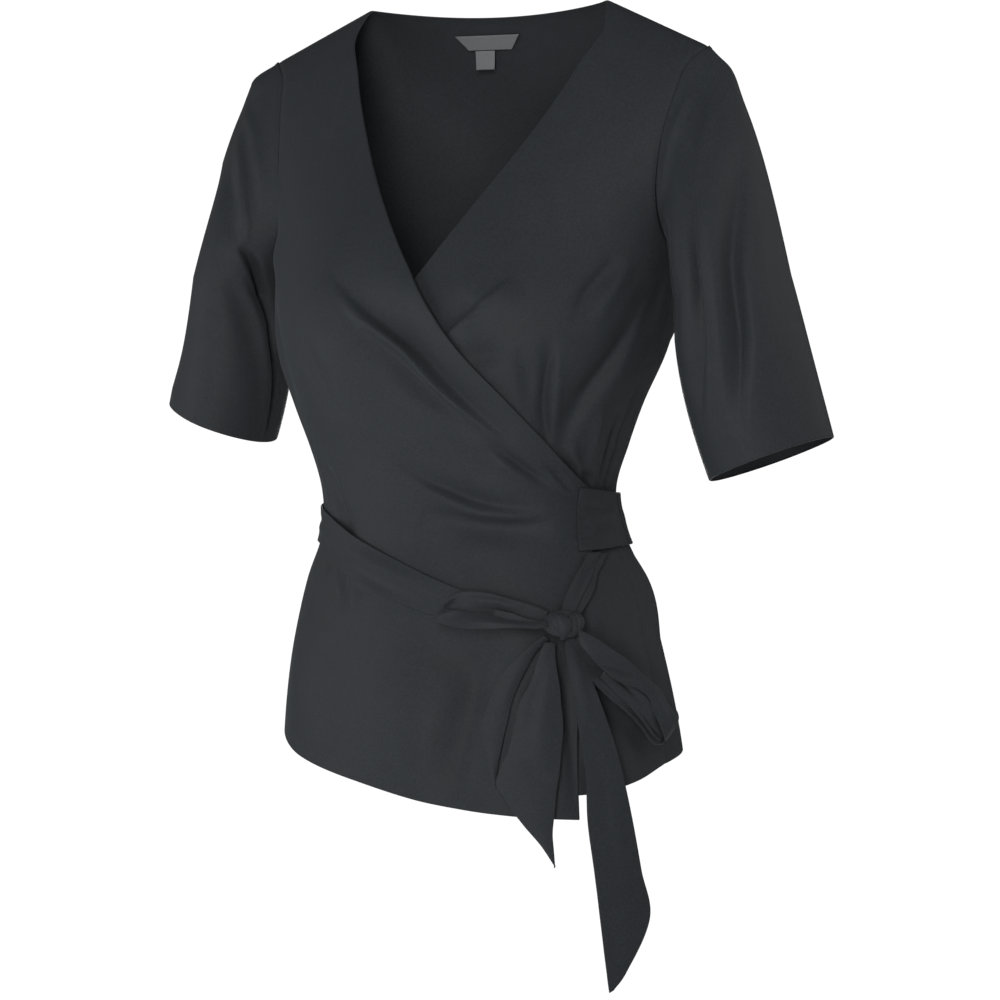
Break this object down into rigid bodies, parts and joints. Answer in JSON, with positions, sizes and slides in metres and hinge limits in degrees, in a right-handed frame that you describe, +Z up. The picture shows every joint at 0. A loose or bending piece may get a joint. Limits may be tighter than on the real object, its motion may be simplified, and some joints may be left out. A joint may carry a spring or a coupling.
{
  "type": "wrap top",
  "caption": "Women's wrap top with elbow sleeves, a crossed V neck, a gathered waist tab and a self belt tied in a bow, standing hollow as worn.",
  "frame": {"origin": "midway between the two neck points, where the shoulder seams meet the neck", "axes": "+Z up, -Y out of the front, +X to the wearer's left"},
  "size_m": [0.5338, 0.256, 0.7066],
  "materials": {
    "crepe": "soft charcoal crepe with a faint satin sheen",
    "woven_label": "matt dark grey woven tape, bare"
  },
  "bodies": {
    "root": {"front_right": "crepe", "front_left": "crepe", "back": "crepe", "sleeve_right": "crepe", "sleeve_left": "crepe", "waist_tab": "crepe", "belt_back": "crepe", "belt_front": "crepe", "tie_short": "crepe", "knot": "crepe", "bow_loop_right": "crepe", "bow_loop_left": "crepe", "tail_right": "crepe", "tail_left": "crepe", "neck_label": "woven_label", "size_tag": "woven_label"}
  },
  "joints": []
}
